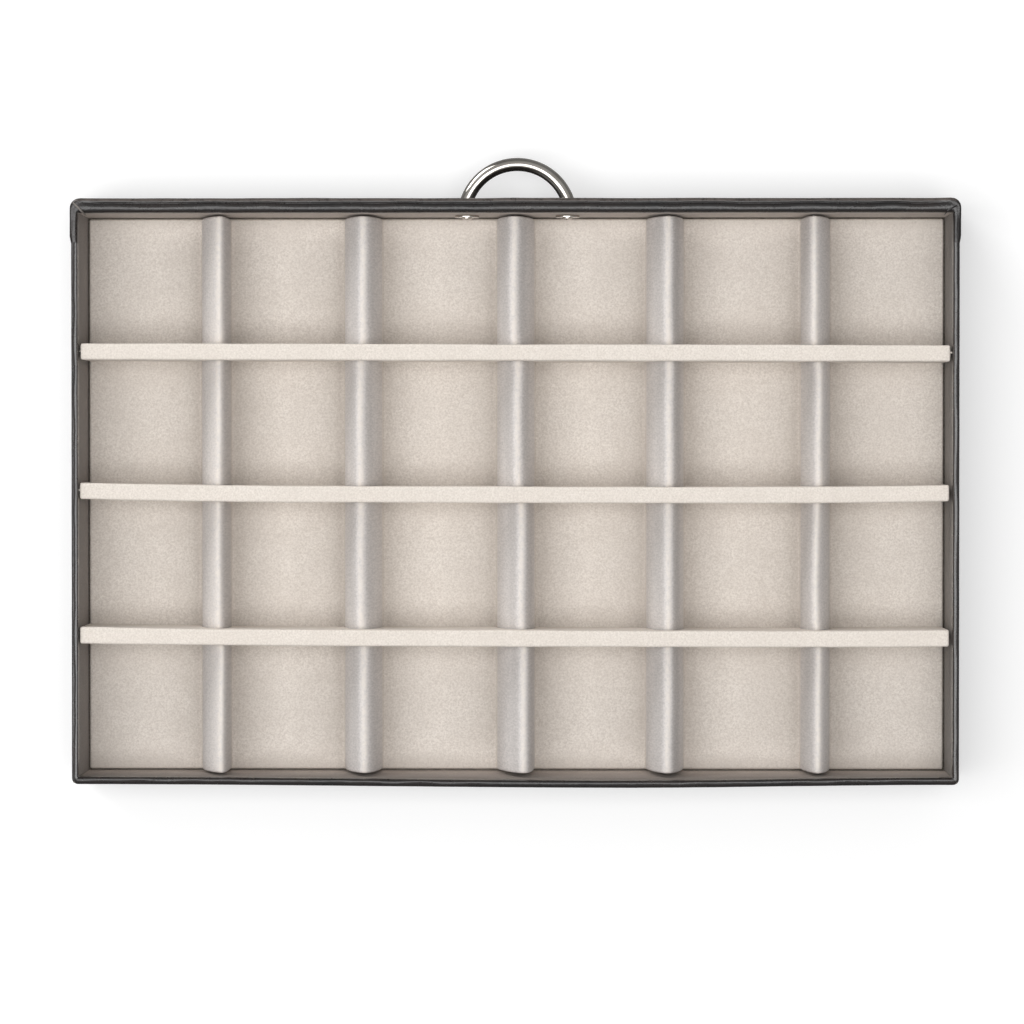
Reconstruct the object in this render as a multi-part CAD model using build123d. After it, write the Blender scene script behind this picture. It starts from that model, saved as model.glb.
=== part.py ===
"""A shallow drawer from a cufflink box: wrapped board walls, a padded leather front with a bow pull,
and a suede insert whose five ridges and three cross dividers make twenty-four compartments.

Millimetres. +X is to the right of someone facing the pull, +Y runs from the pull to the back, +Z is up.
The origin is the centre of the underside, halfway between the front and back leather.
"""
import os
from math import sqrt

from build123d import *

# ---- the drawer's box ----
body_length = 280.0  # over the leather of the two sides
body_depth = 185.0  # over the front and back leather, without the pull
body_height = 32.0  # table to rim

leather_t = 0.4
flap_step = 0.4  # how far the front leather's hemmed flaps stand out from the side leather
flap_reach = 14.0  # how far the front leather runs round each side
turn_in = 2.0  # how far the leather runs down inside the rim
turn_under_t = 0.35  # leather turned under the walls
lining_t = 0.35

side_board_t = 1.4
back_board_t = 1.65
front_board_t = 2.2
padding_t = 1.65
base_board_t = 2.0
underside_t = 0.5

# ---- roundings ----
side_rim_r = 1.0  # outer edge of the rim at the sides and back
front_rim_r = 1.8  # outer edge of the rim on the padded front
inner_rim_r = 0.6
board_edge_r = 0.5
padding_edge_r = 1.4
front_corner_r = 3.0
back_corner_r = 1.9
board_corner_r = 1.4

# ---- the insert ----
insert_gap = 0.3  # clearance from the insert to the lining on each side
insert_board_t = 1.5
suede_t = 0.6
inner_ridge_width = 12.1
outer_ridge_width = 9.4
ridge_height = 21.0  # above the suede floor
ridge_count = 5

# ---- the cross dividers ----
divider_t = 5.2
divider_below_rim = 1.3
divider_end_gap = 0.7  # clearance from each end to the lining
divider_pitch = 45.0
front_row_depth = 40.7  # from the insert's front edge to the first divider
divider_edge_r = 0.8
cover_t = 0.6
notch_gap = 0.3  # clearance from a divider's notch to the ridge under it
divider_names = ("front", "middle", "rear")

# ---- the bow pull and its fixings ----
pull_hole_spacing = 32.0
pull_arc_r = 17.0
pull_bar_d = 4.2
pull_z = 16.5
leg_hole_gap = 0.1  # clearance round each leg of the pull, in the leather and the padding
thread_r = 1.0
thread_depth = 3.0
screw_gap = 0.05
clearance_hole_r = 1.2
washer_r = 3.85
washer_t = 0.8
head_r = 1.9
head_h = 1.2
slot_width = 0.5
slot_depth = 0.5

# ---- places worked out from the sizes above ----
x_side = body_length / 2
y_front = -body_depth / 2
y_back = body_depth / 2
y_seam = y_front + flap_reach
z_wall = underside_t
z_wall_top = body_height - leather_t
z_base_top = underside_t + base_board_t
z_leather = underside_t - turn_under_t

x_board = x_side - leather_t
x_board_in = x_board - side_board_t
y_pad = y_front + leather_t
y_front_board = y_pad + padding_t
y_front_in = y_front_board + front_board_t
y_back_board = y_back - leather_t
y_back_in = y_back_board - back_board_t

x_rim = x_board_in - leather_t
y_rim_front = y_front_in + leather_t
y_rim_back = y_back_in - leather_t

x_lining = x_board_in - lining_t
y_lining_front = y_front_in + lining_t
y_lining_back = y_back_in - lining_t

x_insert = x_lining - insert_gap
y_insert_front = y_lining_front + insert_gap
y_insert_back = y_lining_back - insert_gap
z_board_top = z_base_top + insert_board_t
z_floor = z_board_top + suede_t

z_divider_top = body_height - divider_below_rim
x_leg = pull_hole_spacing / 2
bar_r = pull_bar_d / 2
y_arc_centre = y_front + sqrt(pull_arc_r**2 - x_leg**2)
x_leg_inside = sqrt((pull_arc_r - bar_r) ** 2 - (y_arc_centre - y_front) ** 2)
leg_hole_r = x_leg - x_leg_inside + leg_hole_gap


def block(x0, x1, y0, y1, z0, z1):
    """A box between two corners."""
    return Pos((x0 + x1) / 2, (y0 + y1) / 2, (z0 + z1) / 2) * Box(x1 - x0, y1 - y0, z1 - z0)


def rod(x, y0, y1, z, radius):
    """A round bar along Y."""
    return Pos(x, (y0 + y1) / 2, z) * Rot(90, 0, 0) * Cylinder(radius, y1 - y0)


def upright_edges(solid, place):
    """The vertical edges at the front (place 0) or the back (place -1)."""
    return solid.edges().filter_by(Axis.Z).group_by(Axis.Y)[place]


def top_edges_along(solid, axis, place):
    """The top edges that run along one axis, at its lowest (0) or highest (-1) side."""
    across = Axis.Y if axis == Axis.X else Axis.X
    return solid.edges().group_by(Axis.Z)[-1].filter_by(axis).group_by(across)[place]


# ---- the walls ----
def front_board():
    board = block(-x_board, x_board, y_front_board, y_front_in, z_wall, z_wall_top)
    board = fillet(top_edges_along(board, Axis.X, -1), board_edge_r)
    return board - pull_holes(clearance_hole_r, y_front_board, y_front_in)


def back_board():
    board = block(-x_board, x_board, y_back_in, y_back_board, z_wall, z_wall_top)
    board = fillet(upright_edges(board, -1), board_corner_r)
    return fillet(top_edges_along(board, Axis.X, 0), board_edge_r)


def side_board(side):
    x0, x1 = sorted((side * x_board_in, side * x_board))
    board = block(x0, x1, y_front_in, y_back_in, z_wall, z_wall_top)
    return fillet(board.edges().group_by(Axis.Z)[-1].filter_by(Axis.Y), board_edge_r)


def front_padding():
    pad = block(-x_board, x_board, y_pad, y_front_board, z_wall, z_wall_top)
    pad = fillet(upright_edges(pad, 0), padding_edge_r)
    front_top = pad.edges().group_by(Axis.Z)[-1].filter_by(Axis.Y, reverse=True).group_by(Axis.Y)
    pad = fillet([e for group in front_top[:-1] for e in group], padding_edge_r)
    return pad - pull_holes(leg_hole_r, y_pad, y_front_board)


def base_board():
    return block(-x_board_in, x_board_in, y_front_in, y_back_in, underside_t, z_base_top)


def underside_cover():
    return block(-x_rim, x_rim, y_rim_front, y_rim_back, 0, underside_t)


# ---- the leather ----
def wall_ring(x_half, rim_r):
    """The outer form of all four walls, with its rolled rim."""
    ring = block(-x_half, x_half, y_front, y_back, z_leather, body_height)
    ring = fillet(upright_edges(ring, 0), front_corner_r)
    ring = fillet(upright_edges(ring, -1), back_corner_r)
    ring = fillet(ring.faces().sort_by(Axis.Z)[-1].edges(), rim_r)
    ring -= block(-x_rim, x_rim, y_rim_front, y_rim_back, z_leather, body_height)
    inner_rim = ring.faces().sort_by(Axis.Z)[-1].inner_wires()[0].edges()
    return fillet(inner_rim, inner_rim_r)


def leather_skin(x_half, rim_r, boards):
    """The leather alone: the walls' outer form without the boards, open inside below the turn-in."""
    skin = wall_ring(x_half, rim_r)
    inside = (-x_board_in, x_board_in, y_front_in, y_back_in)
    skin -= block(*inside, z_wall, body_height - turn_in)
    for board in boards:
        skin -= board
    return skin


def front_leather(boards):
    skin = leather_skin(x_side + flap_step, front_rim_r, boards)
    skin &= block(-body_length, body_length, -body_depth, y_seam, 0, body_height)
    return skin - pull_holes(leg_hole_r, y_front, y_rim_front)


def mitre_wedge():
    """The region of the back wall, bounded by the slanting seams at the two back corners."""
    run, rise = x_side - x_rim, y_back - y_rim_back
    inner = (x_side - 3 * run, y_back - 3 * rise)
    outer = (x_side + 3 * run, y_back + 3 * rise)
    corners = [(-inner[0], inner[1]), inner, outer, (-outer[0], outer[1])]
    return extrude(make_face(Polyline(*corners, close=True)), body_height)


def rest_of_leather(boards):
    """The left, right and back leather, cut from one skin along the seams."""
    skin = leather_skin(x_side, side_rim_r, boards)
    skin &= block(-body_length, body_length, y_seam, body_depth, 0, body_height)
    back = skin & mitre_wedge()
    sides = skin - mitre_wedge()
    left = sides & block(-body_length, 0, y_seam, body_depth, 0, body_height)
    return left, mirror(left, about=Plane.YZ), back


# ---- the lining ----
def front_lining():
    strip = block(-x_board_in, x_board_in, y_front_in, y_lining_front, z_base_top, body_height - turn_in)
    return strip - pull_holes(clearance_hole_r, y_front_in, y_lining_front)


def back_lining():
    return block(-x_board_in, x_board_in, y_lining_back, y_back_in, z_base_top, body_height - turn_in)


def side_lining(side):
    x0, x1 = sorted((side * x_lining, side * x_board_in))
    return block(x0, x1, y_lining_front, y_lining_back, z_base_top, body_height - turn_in)


# ---- the insert ----
def ridge_places():
    """The width and centre of each ridge: all six columns between them are equally wide."""
    widths = [inner_ridge_width] * ridge_count
    widths[0] = widths[-1] = outer_ridge_width
    column = (2 * x_insert - sum(widths)) / (ridge_count + 1)
    places, x = [], -x_insert
    for width in widths:
        x += column + width / 2
        places.append((width, x))
        x += width / 2
    return places


def arch(width, x, top, y0, y1, grow):
    """A half-elliptical ridge on the insert board, its skin moved outwards by grow."""
    a, h = width / 2 + grow, top - z_board_top + grow
    outline = EllipticalCenterArc((0, 0), a, h, arc_size=180) + Line((-a, 0), (a, 0))
    plane = Plane(origin=(x, y1, z_board_top), x_dir=(1, 0, 0), z_dir=(0, -1, 0))
    return extrude(plane * make_face(outline), y1 - y0)


def insert_board():
    x, y0, y1 = x_insert - suede_t, y_insert_front + suede_t, y_insert_back - suede_t
    return block(-x, x, y0, y1, z_base_top, z_board_top)


def ridge_core(width, x):
    top = z_floor + ridge_height
    return arch(width, x, top, y_insert_front + suede_t, y_insert_back - suede_t, -suede_t)


def insert_suede(board, cores):
    """One sheet over the board, its ridges and their ends, turned down round the edge."""
    sheet = block(-x_insert, x_insert, y_insert_front, y_insert_back, z_base_top, z_floor)
    for width, x in ridge_places():
        sheet += arch(width, x, z_floor + ridge_height, y_insert_front, y_insert_back, 0)
    for inner in (board, *cores):
        sheet -= inner
    return sheet


# ---- the dividers ----
def divider_y(index):
    return y_insert_front + front_row_depth + divider_t / 2 + index * divider_pitch


def notched(bar, y):
    """Cuts a notch over each ridge."""
    for width, x in ridge_places():
        bar -= arch(width, x, z_floor + ridge_height, y - divider_t, y + divider_t, notch_gap)
    return bar


def divider_core(index):
    y = divider_y(index)
    x, half = x_lining - divider_end_gap - cover_t, divider_t / 2 - cover_t
    return notched(block(-x, x, y - half, y + half, z_floor, z_divider_top - cover_t), y)


def divider_cover(index, core):
    y = divider_y(index)
    x, half = x_lining - divider_end_gap, divider_t / 2
    bar = block(-x, x, y - half, y + half, z_floor, z_divider_top)
    bar = fillet(bar.edges().filter_by(Axis.Z), divider_edge_r)
    bar = fillet(bar.faces().sort_by(Axis.Z)[-1].edges(), divider_edge_r / 2)
    return notched(bar, y) - core


# ---- the pull and its fixings ----
def pull_holes(radius, y0, y1):
    return rod(-x_leg, y0, y1, pull_z, radius) + rod(x_leg, y0, y1, pull_z, radius)


def pull_handle():
    crown = (0, y_arc_centre - pull_arc_r, pull_z)
    path = ThreePointArc((-x_leg, y_front, pull_z), crown, (x_leg, y_front, pull_z))
    handle = sweep(Plane(origin=path @ 0, z_dir=path % 0) * Circle(bar_r), path)
    for x in (-x_leg, x_leg):
        handle += Pos(x, y_front, pull_z) * Sphere(bar_r)
        handle += rod(x, y_front, y_front_board, pull_z, bar_r)
    reach = pull_arc_r + pull_bar_d
    handle &= block(-reach, reach, y_front - reach, y_front_board, pull_z - reach, pull_z + reach)
    return handle - pull_holes(thread_r, y_front_board - thread_depth, y_front_board)


def handle_washer(x):
    y0, y1 = y_lining_front, y_lining_front + washer_t
    return rod(x, y0, y1, pull_z, washer_r) - rod(x, y0, y1, pull_z, clearance_hole_r)


def handle_screw(x):
    """A slotted round head on a shank that stops short of the thread's end."""
    y_seat = y_lining_front + washer_t
    y_tip = y_front_board - thread_depth + screw_gap * 4
    dome_r = (head_r**2 + head_h**2) / (2 * head_h)
    dome = Pos(x, y_seat + head_h - dome_r, pull_z) * Sphere(dome_r)
    screw = rod(x, y_seat, y_seat + head_h, pull_z, head_r) & dome
    half, deep = slot_width / 2, y_seat + head_h - slot_depth
    screw -= block(x - half, x + half, deep, y_seat + head_h, pull_z - head_r, pull_z + head_r)
    return screw + rod(x, y_tip, y_seat, pull_z, thread_r - screw_gap)


def pair(make):
    return Compound([solid for x in (-x_leg, x_leg) for solid in make(x).solids()])


def build():
    """Every sub-part by its name."""
    parts = {
        "base_board": base_board(),
        "front_board": front_board(),
        "back_board": back_board(),
        "left_side_board": side_board(-1),
        "right_side_board": side_board(1),
        "front_padding": front_padding(),
        "underside_cover": underside_cover(),
    }
    boards = [parts[name] for name in parts if name not in ("base_board", "underside_cover")]
    parts["front_leather"] = front_leather(boards)
    left, right, back = rest_of_leather(boards)
    parts["left_side_leather"] = left
    parts["right_side_leather"] = right
    parts["back_leather"] = back
    parts["front_lining"] = front_lining()
    parts["back_lining"] = back_lining()
    parts["left_lining"] = side_lining(-1)
    parts["right_lining"] = side_lining(1)
    parts["insert_board"] = insert_board()
    cores = [ridge_core(width, x) for width, x in ridge_places()]
    for number, core in enumerate(cores, 1):
        parts[f"ridge_core_{number}"] = core
    parts["insert_suede"] = insert_suede(parts["insert_board"], cores)
    for index, name in enumerate(divider_names):
        core = divider_core(index)
        parts[f"{name}_divider_core"] = core
        parts[f"{name}_divider_cover"] = divider_cover(index, core)
    parts["pull_handle"] = pull_handle()
    parts["handle_washers"] = pair(handle_washer)
    parts["handle_screws"] = pair(handle_screw)
    return parts


os.makedirs("parts", exist_ok=True)
for name, shape in build().items():
    export_step(shape, f"parts/{name}.step")
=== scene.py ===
"""The looks of a cufflink box's drawer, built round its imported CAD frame.

Metres, in the frame of the CAD: the pull points to -Y and +X is to the right of someone facing it.
The photograph looks straight down with the pull at the top, so its right-hand side is at -X.
"""

from math import asin, cos, exp, hypot, pi, radians, sin, sqrt

import bpy
from mathutils import Matrix, Vector, noise


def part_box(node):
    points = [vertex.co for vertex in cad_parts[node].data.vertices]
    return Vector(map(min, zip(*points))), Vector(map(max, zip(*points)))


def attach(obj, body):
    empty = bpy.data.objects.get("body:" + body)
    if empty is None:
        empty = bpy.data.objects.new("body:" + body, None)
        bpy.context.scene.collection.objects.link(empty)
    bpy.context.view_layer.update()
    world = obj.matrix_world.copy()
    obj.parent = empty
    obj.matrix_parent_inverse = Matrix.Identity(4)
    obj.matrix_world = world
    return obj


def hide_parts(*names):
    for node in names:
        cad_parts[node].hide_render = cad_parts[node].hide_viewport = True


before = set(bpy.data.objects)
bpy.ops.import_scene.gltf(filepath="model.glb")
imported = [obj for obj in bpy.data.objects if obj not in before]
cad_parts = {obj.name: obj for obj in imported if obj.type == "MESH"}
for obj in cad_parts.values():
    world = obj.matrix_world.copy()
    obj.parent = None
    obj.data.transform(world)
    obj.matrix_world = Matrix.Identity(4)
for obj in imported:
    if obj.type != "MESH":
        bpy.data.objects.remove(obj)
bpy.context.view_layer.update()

mm = 0.001


def low(node):
    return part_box(node)[0]


def high(node):
    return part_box(node)[1]


# ---- the drawer's places, read from the frame ----
rim_z = high("front_leather").z
under_z = low("front_leather").z
side_x = high("right_side_leather").x
flap_x = high("front_leather").x
front_y = low("front_leather").y
flap_end_y = high("front_leather").y
back_y = high("back_leather").y
leather_t = side_x - high("right_side_board").x
rim_x = low("right_side_board").x - leather_t
rim_front_y = high("front_board").y + leather_t
rim_back_y = low("back_board").y - leather_t

lining_x = low("right_lining").x
lining_front_y = high("front_lining").y
lining_back_y = low("back_lining").y
lining_low_z = low("right_lining").z
lining_top_z = high("right_lining").z
lining_t = high("right_lining").x - lining_x

insert_draw = 0.2 * mm  # the insert's turned edges are drawn in by this much
insert_x = high("insert_suede").x - insert_draw
insert_front_y = low("insert_suede").y + insert_draw
insert_back_y = high("insert_suede").y - 1.25 * insert_draw
insert_low_z = low("insert_board").z
board_top_z = high("insert_board").z
floor_z = low("front_divider_cover").z
suede_t = floor_z - board_top_z

divider_names = ("front", "middle", "rear")
divider_x = high("front_divider_cover").x
divider_top_z = high("front_divider_cover").z
divider_t = high("front_divider_cover").y - low("front_divider_cover").y
cover_t = divider_top_z - high("front_divider_core").z
divider_ys = [(low(f"{name}_divider_cover").y + divider_t / 2) for name in divider_names]

pull_z = (low("pull_handle").z + high("pull_handle").z) / 2
bar_r = high("pull_handle").z - pull_z
pull_leg_x = high("pull_handle").x - bar_r
pull_reach = front_y - low("pull_handle").y - bar_r
pull_arc_r = (pull_reach**2 + pull_leg_x**2) / (2 * pull_reach)  # the arc through both legs and the tip
pull_arc_y = front_y - pull_reach + pull_arc_r - 0.3 * mm  # the pull stands off the leather a little
pull_x = -0.6 * mm  # and sits this far off the middle


# ---- modelling helpers ----
def deselect_all():
    if bpy.context.object and bpy.context.object.mode != "OBJECT":
        bpy.ops.object.mode_set(mode="OBJECT")
    bpy.ops.object.select_all(action="DESELECT")


def start(piece):
    deselect_all()
    piece.select_set(True)
    bpy.context.view_layer.objects.active = piece


def use_modifier(piece, kind, **settings):
    """Adds a modifier and applies it."""
    start(piece)
    modifier = piece.modifiers.new(kind.lower(), kind)
    for key, value in settings.items():
        setattr(modifier, key, value)
    bpy.ops.object.modifier_apply(modifier=modifier.name)


def round_edges(piece, width, segments=3, angle=30):
    use_modifier(piece, "BEVEL", width=width, segments=segments,
                 limit_method="ANGLE", angle_limit=radians(angle))


def edit(piece, select="SELECT"):
    """Opens a piece's mesh for editing, with all of it selected or none."""
    start(piece)
    bpy.ops.object.mode_set(mode="EDIT")
    bpy.ops.mesh.select_all(action=select)


def turn_outwards():
    """Faces the mesh being edited outwards, and ends the editing."""
    bpy.ops.mesh.select_all(action="SELECT")
    bpy.ops.mesh.normals_make_consistent(inside=False)
    bpy.ops.object.mode_set(mode="OBJECT")


def tidy_mesh(piece, outwards=True):
    edit(piece)
    bpy.ops.mesh.remove_doubles(threshold=0.002 * mm)
    if outwards:
        turn_outwards()
    bpy.ops.object.mode_set(mode="OBJECT")


def smooth(piece, angle=40):
    start(piece)
    bpy.ops.object.shade_smooth_by_angle(angle=radians(angle))


def settle(piece):
    """Puts the piece's place into its mesh, with its object at the origin."""
    start(piece)
    bpy.ops.object.transform_apply(location=True, rotation=True, scale=True)


def called(name):
    """The piece just made, with its name."""
    piece = bpy.context.object
    piece.name = piece.data.name = name
    return piece


def block(name, lowest, highest):
    """A plain block between two corners."""
    deselect_all()
    bpy.ops.mesh.primitive_cube_add(size=1, location=(lowest + highest) / 2)
    piece = called(name)
    piece.dimensions = highest - lowest
    settle(piece)
    return piece


def sheet_through(name, lines):
    """A flat grid whose rows are laid along these lines of points, one line to a row."""
    last_row, last_column = len(lines) - 1, len(lines[0]) - 1
    deselect_all()
    bpy.ops.mesh.primitive_grid_add(x_subdivisions=last_column, y_subdivisions=last_row, size=1)
    piece = called(name)
    for vertex in piece.data.vertices:
        column = round((vertex.co.x + 0.5) * last_column)
        row = round((vertex.co.y + 0.5) * last_row)
        vertex.co = lines[row][column]
    return piece


def thicken(piece, thickness, side=-1, even=True):
    """Gives a laid sheet its thickness; side -1 is behind the face, 0 both ways, 1 before it."""
    tidy_mesh(piece, outwards=False)
    use_modifier(piece, "SOLIDIFY", thickness=thickness, offset=side, use_even_offset=even)


def finish_piece(piece, finish, body="drawer", replaces=(), angle=40):
    smooth(piece, angle)
    piece.data.materials.clear()
    piece.data.materials.append(finish)
    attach(piece, body)
    if replaces:
        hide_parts(*replaces)
    return piece


def wander(*place, size=20 * mm, seed=0.0):
    """A smooth irregularity from about -1 to 1, with this distance between its rises."""
    x, y, z = place
    return noise.noise(Vector((x / size + seed, y / size - seed, z / size + 0.5 * seed)))


def ease(value):
    """0 below 0, 1 above 1 and smooth between."""
    value = min(max(value, 0), 1)
    return value * value * (3 - 2 * value)


def spread(start_value, end_value, steps):
    """Evenly spaced values, without the last."""
    return [start_value + (end_value - start_value) * k / steps for k in range(steps)]


# ---- finishes ----
def add_node(tree, kind, inputs=None, **settings):
    """A new node whose inputs are set to these values, or linked where they are another node's outputs."""
    made = tree.nodes.new(kind)
    for key, value in settings.items():
        setattr(made, key, value)
    for key, value in (inputs or {}).items():
        if isinstance(value, bpy.types.NodeSocket):
            tree.links.new(value, made.inputs[key])
        else:
            made.inputs[key].default_value = value
    return made


class Finish:
    """A material built up node by node on one Principled shader."""

    def __init__(self, name, **sockets):
        self.material = bpy.data.materials.new(name)
        self.material.use_nodes = True
        self.tree = self.material.node_tree
        self.shader = self.tree.nodes["Principled BSDF"]
        for key, value in sockets.items():
            self.shader.inputs[key.replace("_", " ")].default_value = value
        self.place = self.node("ShaderNodeTexCoord").outputs["Object"]

    def node(self, kind, inputs=None, **settings):
        return add_node(self.tree, kind, inputs, **settings)

    def speckle(self, size, detail=2.0, roughness=0.5, stretch=(1, 1, 1)):
        """Noise whose features are about this many metres across."""
        mapping = self.node("ShaderNodeMapping", {"Vector": self.place, "Scale": stretch})
        inputs = {"Vector": mapping.outputs[0], "Scale": 1 / size, "Detail": detail, "Roughness": roughness}
        return self.node("ShaderNodeTexNoise", inputs).outputs["Fac"]

    def cells(self, size):
        inputs = {"Vector": self.place, "Scale": 1 / size}
        return self.node("ShaderNodeTexVoronoi", inputs).outputs["Distance"]

    def along(self, axis):
        return self.node("ShaderNodeSeparateXYZ", {0: self.place}).outputs[axis]

    def sloped(self, value, start_value, end_value, low_value=0.0, high_value=1.0):
        """Value, taken from one range to another."""
        inputs = {0: value, 1: start_value, 2: end_value, 3: low_value, 4: high_value}
        return self.node("ShaderNodeMapRange", inputs).outputs[0]

    def maths(self, operation, first, second):
        return self.node("ShaderNodeMath", {0: first, 1: second}, operation=operation).outputs[0]

    def mixed(self, share, first, second, blend="MIX"):
        inputs = {0: share, 6: first, 7: second}
        return self.node("ShaderNodeMix", inputs, data_type="RGBA", blend_type=blend).outputs[2]

    def bumped(self, height, distance, strength=1.0, under=None):
        inputs = {"Height": height, "Distance": distance, "Strength": strength}
        if under is not None:
            inputs["Normal"] = under
        return self.node("ShaderNodeBump", inputs).outputs["Normal"]

    def done(self, colour=None, roughness=None, normal=None):
        for key, value in (("Base Color", colour), ("Roughness", roughness), ("Normal", normal)):
            if value is not None:
                self.tree.links.new(value, self.shader.inputs[key])
        return self.material


def rgb(red, green, blue):
    """A colour as a paint program gives it, 0 to 255, in linear light."""
    def linear(part):
        part /= 255
        return part / 12.92 if part <= 0.04045 else ((part + 0.055) / 1.055) ** 2.4
    return (linear(red), linear(green), linear(blue), 1)


nap_size = 0.6 * mm
painted_shade_tint = rgb(218, 217, 216)  # what the insert's suede is multiplied by where shade is painted on it
# painted reflection, paler brown, on the front's rolled outer edge
worn_leather = rgb(92, 84, 79)


def suede(name, pile, shade, raised=None, crest_highlight=None, top_shade=None):
    """Short-napped suede: a fine mottle of brushed and unbrushed pile over slow clouding.

    With raised and crest colours, the pile over the ridges has its own tone and a painted highlight on its
    crests, and the piece's attribute of painted light and shade is -1 where shade is painted, multiplying
    the pile darker, and 1 where a highlight is painted. With a top shade colour, a wall's lining has shade
    painted towards the rim, multiplied by this colour."""
    finish = Finish(name, Roughness=0.95, Sheen_Weight=0.12, Sheen_Roughness=0.6, Specular_IOR_Level=0.12)
    pile_and_painted_shading = finish.speckle(nap_size, detail=3, roughness=0.7)
    cloud = finish.speckle(9 * mm)
    fibre = finish.speckle(0.16 * mm)
    mottled = finish.mixed(finish.sloped(pile_and_painted_shading, 0.34, 0.66), shade, pile)
    tone = finish.mixed(finish.sloped(cloud, 0.35, 0.65, 0, 0.25), mottled, shade)
    if raised is not None:
        streak = finish.speckle(nap_size, detail=3, roughness=0.7, stretch=(1, 1, 0.08))
        unbrushed = finish.mixed(0.2, raised, rgb(0, 0, 0))
        streaked = finish.mixed(finish.sloped(streak, 0.36, 0.64), unbrushed, raised)
        up_the_flank = finish.sloped(finish.along("Z"), floor_z + 0.4 * mm, floor_z + 3 * mm)
        tone = finish.mixed(up_the_flank, tone, streaked)
        # painted light and shade, read from the insert's attribute
        painted_light = finish.node("ShaderNodeAttribute", attribute_name="pile_and_painted_shading").outputs["Fac"]
        # patches that break up the painted highlight on the crests
        crest_breakup = finish.speckle(1.1 * mm, detail=4, roughness=0.75, stretch=(1, 0.6, 0.1))
        crest_patches = finish.sloped(crest_breakup, 0.36, 0.6, 0.25, 1)
        # painted shade: the pile multiplied darker
        painted_shade = finish.mixed(1.0, tone, painted_shade_tint, "MULTIPLY")
        tone = finish.mixed(finish.sloped(painted_light, 0, -1), tone, painted_shade)
        # painted highlight on the crests
        tone = finish.mixed(finish.maths("MULTIPLY", finish.sloped(painted_light, 0, 1), crest_patches), tone, crest_highlight)
    # painted shade: the lining darker towards the rim
    if top_shade is not None:
        top_shaded = finish.mixed(1.0, tone, top_shade, "MULTIPLY")
        tone = finish.mixed(finish.sloped(finish.along("Z"), 6 * mm, 26 * mm), tone, top_shaded)
    rough_pile = finish.bumped(pile_and_painted_shading, 0.05 * mm, 0.5)
    return finish.done(tone, None, finish.bumped(fibre, 0.04 * mm, 0.5, rough_pile))


def leather(name, dark, brown, dressing=0.25):
    """Black smooth-grain leather with a painted reflection in paler brown on the front's rolled outer edge;
    dressing is its gloss.
    """
    finish = Finish(name, Roughness=0.3, Specular_IOR_Level=0.5, Coat_Weight=dressing, Coat_Roughness=0.2)
    pores = finish.cells(0.9 * mm)
    crease = finish.speckle(2.4 * mm, detail=4, roughness=0.6)
    cloud = finish.speckle(14 * mm)
    tone = finish.mixed(finish.sloped(cloud, 0.3, 0.7), dark, brown)
    # painted reflection on the front's rolled outer edge, broken up by the creases
    to_front = finish.sloped(finish.along("Y"), front_y + 1.15 * mm, front_y + 0.7 * mm)
    to_rim = finish.sloped(finish.along("Z"), rim_z - 3.5 * mm, rim_z - 1.5 * mm)
    on_edge = finish.maths("MULTIPLY", to_front, to_rim)
    painted_reflection = finish.maths("MULTIPLY", on_edge, finish.sloped(crease, 0.3, 0.6, 0.4, 1))
    tone = finish.mixed(painted_reflection, tone, worn_leather)
    grain = finish.bumped(finish.sloped(pores, 0.05, 0.5), 0.045 * mm, 0.75)
    roughness = finish.sloped(crease, 0.3, 0.7, 0.24, 0.36)
    return finish.done(tone, roughness, finish.bumped(crease, 0.12 * mm, 0.6, grain))


def polished_nickel():
    """Bright nickel plate with faint wiping marks."""
    finish = Finish("polished_nickel", Metallic=1.0, Roughness=0.08)
    haze = finish.speckle(6 * mm, detail=3)
    wipes = finish.speckle(0.3 * mm, stretch=(1, 1, 0.12))
    tone = finish.mixed(finish.sloped(haze, 0.3, 0.7), rgb(186, 180, 172), rgb(205, 201, 195))
    roughness = finish.sloped(haze, 0.35, 0.75, 0.05, 0.13)
    return finish.done(tone, roughness, finish.bumped(wipes, 0.002 * mm, 0.3))


def board(name, pale, dark):
    """Grey bookbinder's board, with long pulp fibres and flecks."""
    finish = Finish(name, Roughness=0.9, Specular_IOR_Level=0.2)
    fibres = finish.speckle(0.7 * mm, detail=4, roughness=0.7, stretch=(0.3, 1, 1))
    flecks = finish.cells(2.2 * mm)
    tone = finish.mixed(finish.sloped(fibres, 0.35, 0.65), dark, pale)
    flecked = finish.mixed(finish.sloped(flecks, 0.0, 0.12, 0.5, 0.0), tone, dark)
    return finish.done(flecked, None, finish.bumped(fibres, 0.06 * mm, 0.6))


def foam():
    """Pale open-cell foam."""
    finish = Finish("pale_foam", Roughness=1.0, Specular_IOR_Level=0.1)
    cells = finish.cells(0.6 * mm)
    tone = finish.mixed(finish.sloped(cells, 0.1, 0.6), rgb(196, 190, 172), rgb(226, 221, 204))
    return finish.done(tone, None, finish.bumped(cells, 0.15 * mm, 0.8))


def underside_felt():
    """Thin black felt on the underside."""
    finish = Finish("underside_felt", Roughness=1.0, Specular_IOR_Level=0.1,
                    Sheen_Weight=0.3, Sheen_Roughness=0.5)
    fluff = finish.speckle(0.5 * mm, detail=4, roughness=0.7)
    cloud = finish.speckle(12 * mm)
    tone = finish.mixed(finish.sloped(fluff, 0.3, 0.7), rgb(34, 33, 33), rgb(58, 56, 55))
    tone = finish.mixed(finish.sloped(cloud, 0.35, 0.7, 0, 0.35), tone, rgb(46, 43, 42))
    return finish.done(tone, None, finish.bumped(fluff, 0.1 * mm, 0.8))


# raised is the ridges' own pile tone; crest is the colour of the painted highlight on their crests
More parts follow.
